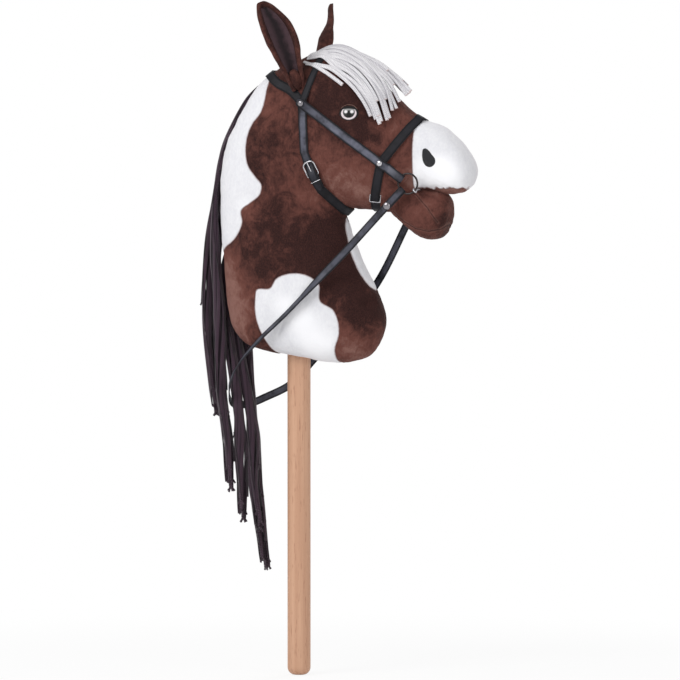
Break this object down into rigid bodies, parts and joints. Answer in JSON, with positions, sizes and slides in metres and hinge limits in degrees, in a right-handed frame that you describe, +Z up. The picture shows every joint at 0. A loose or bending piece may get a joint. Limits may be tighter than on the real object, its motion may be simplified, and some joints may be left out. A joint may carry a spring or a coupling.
{
  "type": "hobby horse",
  "caption": "Stuffed plush horse head and neck on a round wooden pole, with a strap bridle, loose-ring bit, buckle and reins.",
  "frame": {"origin": "centre of the flat land at the foot of the pole", "axes": "+Z up along the pole, +X towards the horse's nose, -Y the horse's right side"},
  "size_m": [0.3736, 0.1769, 0.8784],
  "materials": {
    "beech": "smooth sanded beech",
    "brown_plush": "short-nap dark brown plush",
    "white_plush": "short-nap white plush",
    "dark_lining": "dark plain-weave lining",
    "embroidery": "satin-stitch embroidery, black, white and grey-green",
    "black_strap": "black grained imitation leather, semi-gloss",
    "steel": "bright nickel-plated steel",
    "dark_nickel": "dark worn nickel",
    "mane_cord": "flat braided black-purple cord",
    "forelock_cord": "flat braided white cord"
  },
  "bodies": {
    "horse": {"pole": "beech", "neck": "brown_plush", "head": "brown_plush", "upper_lip": "brown_plush", "lower_jaw": "brown_plush", "ear_right": "brown_plush", "ear_left": "brown_plush", "muzzle": "white_plush", "chest_gusset": "white_plush", "crest_panel_right": "white_plush", "crest_panel_left": "white_plush", "shoulder_patch_right": "white_plush", "shoulder_patch_left": "white_plush", "ear_lining_right": "dark_lining", "ear_lining_left": "dark_lining", "eye_right": "embroidery", "eye_left": "embroidery", "nostril_right": "embroidery", "nostril_left": "embroidery", "crownpiece": "black_strap", "throatlatch": "black_strap", "throat_billet": "black_strap", "browband": "black_strap", "noseband": "black_strap", "jaw_strap": "black_strap", "cheekpiece_right": "black_strap", "cheekpiece_left": "black_strap", "rein": "black_strap", "rein_end_right": "black_strap", "rein_end_left": "black_strap", "throat_buckle": "steel", "throat_keeper": "steel", "jaw_strap_slide": "steel", "bit_mouthpiece": "steel", "poll_rivet_right": "steel", "poll_rivet_left": "steel", "nose_rivet_right": "steel", "nose_rivet_left": "steel", "rein_stud_right": "steel", "rein_stud_left": "steel", "mane_outer_1": "mane_cord", "mane_outer_2": "mane_cord", "mane_outer_3": "mane_cord", "mane_inner_1": "mane_cord", "mane_inner_2": "mane_cord", "mane_inner_3": "mane_cord", "forelock": "forelock_cord"},
    "bit_ring_right": {"bit_ring_right": "dark_nickel"},
    "bit_ring_left": {"bit_ring_left": "dark_nickel"},
    "throat_buckle_prong": {"throat_buckle_prong": "steel"}
  },
  "joints": [
    {"name": "bit_ring_right_turn", "type": "hinge", "parent": "horse", "child": "bit_ring_right", "pos_m": [0.1606, -0.04, 0.64], "axis": [0, 1, 0], "continuous": true},
    {"name": "bit_ring_left_turn", "type": "hinge", "parent": "horse", "child": "bit_ring_left", "pos_m": [0.1606, 0.04, 0.64], "axis": [0, 1, 0], "continuous": true},
    {"name": "throat_buckle_prong_swing", "type": "hinge", "parent": "horse", "child": "throat_buckle_prong", "pos_m": [0.03441, -0.0438, 0.65009], "axis": [0.9125, 0, 0.4091], "range_deg": [0, 45]}
  ]
}
